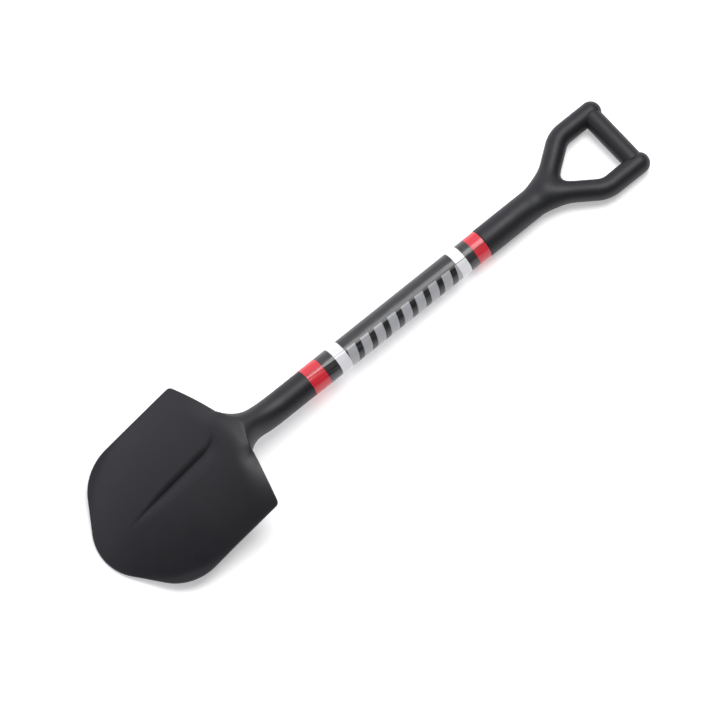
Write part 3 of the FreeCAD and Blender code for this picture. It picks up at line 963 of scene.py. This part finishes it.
def moulded_finish(name, grains, black, flash):
    """Spark-textured plastic with the thin line that the mould's parting leaves."""
    material, t, shader = finish_of(name, {"Specular IOR Level": 0.42, "IOR": 1.49})
    skin = use(t, GRAIN, {"Grains per metre": grains, "Tooth": 1.4})
    marks = use(t, HANDLING, {"Patches per metre": 24.0, "Amount": 1.0})
    color = mixed(t, skin["Fleck"], black, tuple(1.5 * c for c in black))
    t.set(shader.inputs["Base Color"], mixed(t, marks["Dull"], color, tuple(1.7 * c for c in black)))
    t.set(shader.inputs["Roughness"], t.ramp(marks["Dull"], 0.0, 1.0, 0.50, 0.40))
    height = skin["Height"]
    if flash:
        from_line = t.math("ABSOLUTE", attribute(t, "from_parting"))
        height = t.math("ADD", height, t.ramp(from_line, 0.1, 0.45, 1.4, 0.0))
    bumped(t, shader, height, 0.3, 0.00012)
    return material


def film_finish(name, print_color, gloss):
    """Glossy printed film; print_color draws the print from the place on the film."""
    material, t, shader = finish_of(name, {"Specular IOR Level": 0.5, "Coat Roughness": 0.07,
                                           "Coat IOR": 1.5})
    wound, along = attribute(t, "wound"), attribute(t, "along")
    streaks = use(t, STREAKS, {"Wound": wound, "Along": along, "Lines": 16.0})
    color = print_color(t, wound, along)
    # Dark line along the lapped edge: painted shadow of the seam.
    seam_shadow = t.ramp(wound, SEAM_SHADOW_WIDTH, 1.6 * SEAM_SHADOW_WIDTH, 0.85, 0.0)
    color = mixed(t, seam_shadow, color, SEAM_SHADOW)
    lighter = t.math("MULTIPLY", streaks["Lines"], 0.10)
    t.set(shader.inputs["Base Color"], mixed(t, lighter, color, (0.6, 0.6, 0.62)))
    t.set(shader.inputs["Roughness"], t.ramp(streaks["Lines"], 0.0, 1.0, 0.30, 0.42))
    t.set(shader.inputs["Coat Weight"], t.ramp(streaks["Waves"], 0.2, 0.8, gloss, 0.6 * gloss))
    bumped(t, shader, streaks["Waves"], 0.25, 0.0004)
    return material


def plain_print(color):
    """One ink all over, a shade thinner in places."""
    def draw(t, wound, along):
        spot = t.add("ShaderNodeCombineXYZ", {"X": t.math("MULTIPLY", wound, 2.0),
                                              "Y": t.math("MULTIPLY", along, 0.12)})
        return mixed(t, noise(t, 1.0, 3.0, 0.5, spot), color, tuple(0.86 * c for c in color))
    return draw


def striped_print(t, wound, along):
    """Slanted grey bars on a dark ground, a thin lighter strip at the lap that is a painted highlight,
    and a plain far side.
    """
    from_lap = t.math("MULTIPLY", wound, TUBE_R)
    run = t.math("SUBTRACT", along, LABEL_START + STRIPE_LEAD)
    run = t.math("MULTIPLY_ADD", from_lap, STRIPE_SLANT, run)
    bar = t.math("FRACT", t.math("DIVIDE", run, STRIPE_PITCH))
    soft = 0.012
    grey = t.math("SUBTRACT", t.ramp(bar, 0.0, soft), t.ramp(bar, STRIPE_SHARE, STRIPE_SHARE + soft))
    grey = t.math("MULTIPLY", grey, t.math("GREATER_THAN", run, 0.0))
    # Thin lighter strip along the lap: painted highlight of the key light on the glossy film.
    strip = t.ramp(from_lap, HIGHLIGHT_STRIP_W, HIGHLIGHT_STRIP_W + 0.25, 1.0, 0.0)
    far = t.ramp(wound, PRINT_END, PRINT_END + 0.02)
    color = mixed(t, strip, LABEL_BLACK, LABEL_PAINTED_HIGHLIGHT)
    color = mixed(t, grey, color, LABEL_GREY)
    return mixed(t, far, color, LABEL_GROUND)


def steel_finish(name, color, rough, turned_marks):
    """Bare or blackened steel with fine tool marks."""
    material, t, shader = finish_of(name, {"Metallic": 1.0})
    marks = use(t, HANDLING, {"Patches per metre": 120.0, "Amount": 1.0})
    skin = use(t, GRAIN, {"Grains per metre": turned_marks, "Tooth": 1.0})
    t.set(shader.inputs["Base Color"], mixed(t, marks["Dull"], color, tuple(0.6 * c for c in color)))
    t.set(shader.inputs["Roughness"], t.ramp(skin["Fleck"], 0.0, 1.0, rough, rough + 0.15))
    bumped(t, shader, skin["Height"], 0.2, 0.00005)
    return material


def paper_finish():
    """Pale matt floor with a faint glow of its own."""
    material, t, shader = finish_of("floor_paper", {"Roughness": 0.9, "Emission Strength": TABLE_GLOW,
                                                    "Emission Color": (1.0, 1.0, 1.0, 1.0)})
    t.set(shader.inputs["Base Color"], mixed(t, noise(t, 3.0, 2.0), (0.88, 0.88, 0.88), (0.9, 0.9, 0.9)))
    return material


# ---------------------------------------------------------------- stage, light and camera

VIEW_AZIMUTH = math.radians(-30.0)
VIEW_ELEVATION = math.radians(65.0)
VIEW_ROLL = math.radians(11.0)
VIEW_AIM = (-344.3, -15.9, 0.0)
VIEW_WIDTH = 718.0
LENS = 1200.0
KEY_DIRECTION = (0.206, 0.637, 0.742)
KEY_DISTANCE = 2600.0
KEY_SIZE = 1.5
KEY_WATTS = 52.0
WINDOW = (0.0, 1.0, 0.2)
ROOM_DARK = 0.12
ROOM_BRIGHT = 1.2
ROOM_TINT = (0.945, 0.935, 1.0, 1.0)
TABLE_GLOW = 0.4
SENSOR = 36.0


def view_axes():
    """Right, up and back directions of the view, in the shaft frame."""
    a, e = VIEW_AZIMUTH, VIEW_ELEVATION
    right = np.array((math.cos(a), math.sin(a), 0.0))
    up = np.array((-math.sin(a) * math.sin(e), math.cos(a) * math.sin(e), math.cos(e)))
    back = np.array((math.sin(a) * math.cos(e), -math.cos(a) * math.cos(e), math.sin(e)))
    cos_r, sin_r = math.cos(VIEW_ROLL), math.sin(VIEW_ROLL)
    return cos_r * right - sin_r * up, sin_r * right + cos_r * up, back


def look_matrix(place, right, up, back):
    turn = Matrix((turned(right), turned(up), turned(back))).transposed()
    matrix = turn.to_4x4()
    matrix.translation = Vector(on_shaft([place])[0])
    return matrix


def add_camera():
    data = bpy.data.cameras.new("view")
    data.lens = LENS
    data.sensor_width = SENSOR
    data.clip_end = 100.0
    camera = bpy.data.objects.new("view", data)
    bpy.context.scene.collection.objects.link(camera)
    right, up, back = view_axes()
    distance = VIEW_WIDTH * LENS / SENSOR
    camera.matrix_world = look_matrix(np.array(VIEW_AIM) + distance * back, right, up, back)
    bpy.context.scene.camera = camera


def add_light(name, direction, distance, size, watts):
    """Square soft light at a direction given as (right, up, back) of the view."""
    right, up, back = view_axes()
    toward = direction[0] * right + direction[1] * up + direction[2] * back
    toward = toward / np.linalg.norm(toward)
    data = bpy.data.lights.new(name, "AREA")
    data.shape = "SQUARE"
    data.size = size
    data.energy = watts
    light = bpy.data.objects.new(name, data)
    bpy.context.scene.collection.objects.link(light)
    spot = Vector(on_shaft([np.array(VIEW_AIM) + distance * toward])[0])
    aim = Vector(on_shaft([VIEW_AIM])[0])
    matrix = (spot - aim).to_track_quat("Z", "Y").to_matrix().to_4x4()
    matrix.translation = spot
    light.matrix_world = matrix


def add_floor():
    mesh = bpy.data.meshes.new("floor")
    size = 6.0
    corners = [(-size, -size, 0), (size, -size, 0), (size, size, 0), (-size, size, 0)]
    mesh.from_pydata(corners, [], [(0, 1, 2, 3)])
    mesh.materials.append(paper_finish())
    floor = bpy.data.objects.new("floor", mesh)
    bpy.context.scene.collection.objects.link(floor)


def add_world():
    """Room light that grows from one side of the shovel to the other, like a tall window."""
    world = bpy.data.worlds.new("room")
    world.use_nodes = True
    t = Tree(world.node_tree)
    background = world.node_tree.nodes["Background"]
    direction = t.add("ShaderNodeTexCoord").outputs["Generated"]
    toward = turned(WINDOW).normalized()
    facing = t.add("ShaderNodeVectorMath", {0: direction, 1: toward}, operation="DOT_PRODUCT")
    side = facing.outputs["Value"]
    t.set(background.inputs["Strength"], t.ramp(side, -0.2, 1.0, ROOM_DARK, ROOM_BRIGHT))
    background.inputs["Color"].default_value = ROOM_TINT
    bpy.context.scene.world = world


# ---------------------------------------------------------------- putting it together

def dress_hidden_nodes():
    """Finishes for the CAD pieces that stay as they are, inside the shovel."""
    plug = moulded_finish("plug_plastic", 500.0, (0.10, 0.095, 0.08), False)
    finishes = {
        "shaft_tube": coat_finish("tube_coat", False),
        "socket_plug": plug,
        "grip_plug": plug,
        "crossbar_core": steel_finish("drawn_rod", (0.56, 0.55, 0.53), 0.28, 1500.0),
    }
    for node, finish in finishes.items():
        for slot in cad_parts[node].material_slots:
            slot.material = finish


build_blade(coat_finish("blade_coat", True))
build_yoke(moulded_finish("grip_plastic", 1400.0, MOULDED_BLACK, True))
build_bar(moulded_finish("bar_plastic", 1600.0, BAR_BLACK, True))
build_films({
    "red_film": film_finish("red_film", plain_print(FILM_RED), 0.3),
    "black_film": film_finish("black_film", plain_print(FILM_BLACK), 0.45),
    "white_film": film_finish("white_film", plain_print(FILM_WHITE), 0.4),
    "label_film": film_finish("label_film", striped_print, 0.22),
})
build_fasteners(steel_finish("zinc_screw", (0.62, 0.62, 0.60), 0.3, 2200.0),
                steel_finish("black_rivet", (0.16, 0.16, 0.165), 0.38, 1800.0))
dress_hidden_nodes()
bpy.context.scene.view_settings.view_transform = "Standard"
add_camera()
add_light("key", KEY_DIRECTION, KEY_DISTANCE, KEY_SIZE, KEY_WATTS)
add_floor()
add_world()
